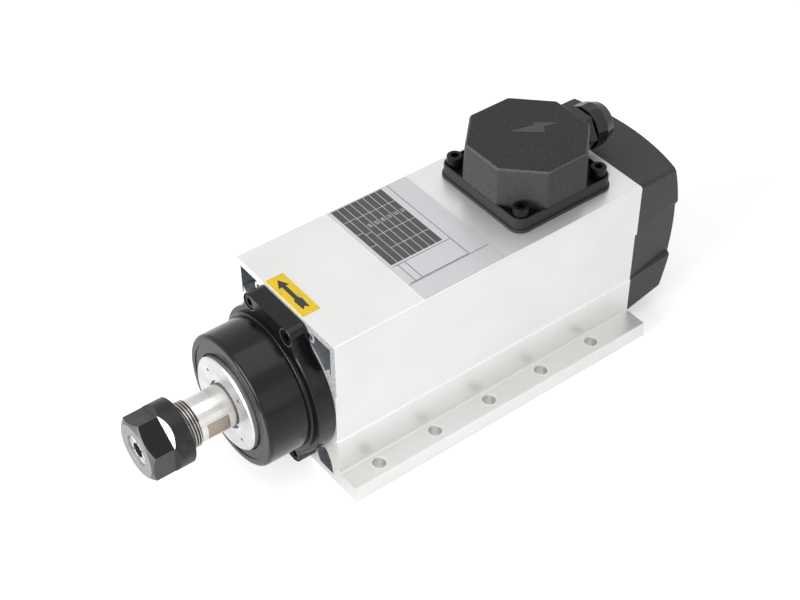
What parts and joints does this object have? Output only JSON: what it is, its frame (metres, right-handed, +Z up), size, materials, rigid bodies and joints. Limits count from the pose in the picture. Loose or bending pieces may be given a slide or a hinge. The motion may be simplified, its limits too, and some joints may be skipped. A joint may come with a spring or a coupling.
{
  "type": "motor spindle",
  "caption": "Square fan-cooled electric spindle motor with a collet nose, a flanged base drilled for bolts, and a terminal box with a cable gland on top.",
  "frame": {"origin": "on the underside of the base, in the middle of the ten mounting holes", "axes": "+Y along the spindle from the collet towards the fan, +X across, +Z up through the terminal box"},
  "size_m": [0.111, 0.3224, 0.127],
  "materials": {
    "anodised_aluminium": "clear anodised, fine satin",
    "black_enamel": "gloss black coating",
    "turned_aluminium": "bright turned",
    "cast_aluminium": "as cast, machined seats",
    "black_screw_steel": "black oxide",
    "black_oxide_steel": "black oxide, satin",
    "shaft_steel": "ground steel",
    "collet_steel": "hardened and ground",
    "bearing_steel": "polished",
    "spring_steel": "rolled strip",
    "plain_steel": "machined",
    "bearing_cage_resin": "machined resin",
    "core_laminations": "stacked sheet, thin varnish",
    "winding_copper": "varnished copper wire",
    "cage_aluminium": "die cast",
    "fan_plastic": "moulded",
    "cover_plastic": "fine moulded grain",
    "box_plastic": "fine moulded grain",
    "gasket_rubber": "soft, matt",
    "terminal_moulding": "brown moulding",
    "terminal_brass": "bright",
    "zinc_screw": "zinc plated",
    "lead_sleeving": "silicone sleeving",
    "gland_nylon": "semi-gloss nylon",
    "label_foil": "printed foil",
    "label_film": "printed film"
  },
  "bodies": {
    "motor_body": {"body_extrusion": "anodised_aluminium", "front_flange": "black_enamel", "front_flange_screws": "black_screw_steel", "front_bearing_cap": "turned_aluminium", "front_bearing_outer_rings": "bearing_steel", "bearing_outer_spacer": "plain_steel", "stator_core": "core_laminations", "stator_windings": "winding_copper", "rear_shield": "cast_aluminium", "rear_shield_screws": "black_screw_steel", "rear_bearing_outer_ring": "bearing_steel", "preload_spring": "spring_steel", "fan_cover": "cover_plastic", "fan_cover_screws": "black_screw_steel", "terminal_box_gasket": "gasket_rubber", "terminal_box_lid": "box_plastic", "terminal_box_washers": "black_screw_steel", "terminal_box_screws": "black_screw_steel", "terminal_block": "terminal_moulding", "terminal_studs": "terminal_brass", "phase_leads": "lead_sleeving", "lead_grommet": "gasket_rubber", "earth_screw": "zinc_screw", "gland_body": "gland_nylon", "gland_washer": "gasket_rubber", "gland_locknut": "gland_nylon", "gland_dome_nut": "gland_nylon", "gland_seal": "gasket_rubber", "nameplate": "label_foil", "arrow_label": "label_film"},
    "rotor": {"spindle_shaft": "shaft_steel", "rotor_core": "core_laminations", "rotor_cage": "cage_aluminium", "front_bearing_inner_rings": "bearing_steel", "bearing_inner_spacer": "plain_steel", "bearing_locknut": "plain_steel", "rear_bearing_inner_ring": "bearing_steel", "cooling_fan": "fan_plastic", "fan_clip": "spring_steel"},
    "front_ball_train": {"front_bearing_balls": "bearing_steel", "front_bearing_cages": "bearing_cage_resin"},
    "rear_ball_train": {"rear_bearing_balls": "bearing_steel", "rear_bearing_cage": "bearing_cage_resin"},
    "collet_body": {"collet": "collet_steel"},
    "collet_nut_body": {"collet_nut": "black_oxide_steel"}
  },
  "joints": [
    {"name": "spindle_spin", "type": "hinge", "parent": "motor_body", "child": "rotor", "pos_m": [0, 0, 0.0495], "axis": [0, 1, 0], "continuous": true},
    {"name": "front_train_spin", "type": "hinge", "parent": "motor_body", "child": "front_ball_train", "pos_m": [0, 0, 0.0495], "axis": [0, 1, 0], "continuous": true},
    {"name": "rear_train_spin", "type": "hinge", "parent": "motor_body", "child": "rear_ball_train", "pos_m": [0, 0, 0.0495], "axis": [0, 1, 0], "continuous": true},
    {"name": "collet_slide", "type": "slide", "parent": "rotor", "child": "collet_body", "axis": [0, -1, 0], "range_m": [0, 0.012]},
    {"name": "nut_turn", "type": "hinge", "parent": "collet_body", "child": "collet_nut_body", "pos_m": [0, -0.1685, 0.0495], "axis": [0, -1, 0], "range_deg": [0, 2880]}
  ],
  "couplings": [
    {"joint": "front_train_spin", "follows": "spindle_spin", "ratio": 0.4056},
    {"joint": "rear_train_spin", "follows": "spindle_spin", "ratio": 0.4077},
    {"joint": "nut_turn", "follows": "collet_slide", "rad_per_m": 4188.8}
  ]
}
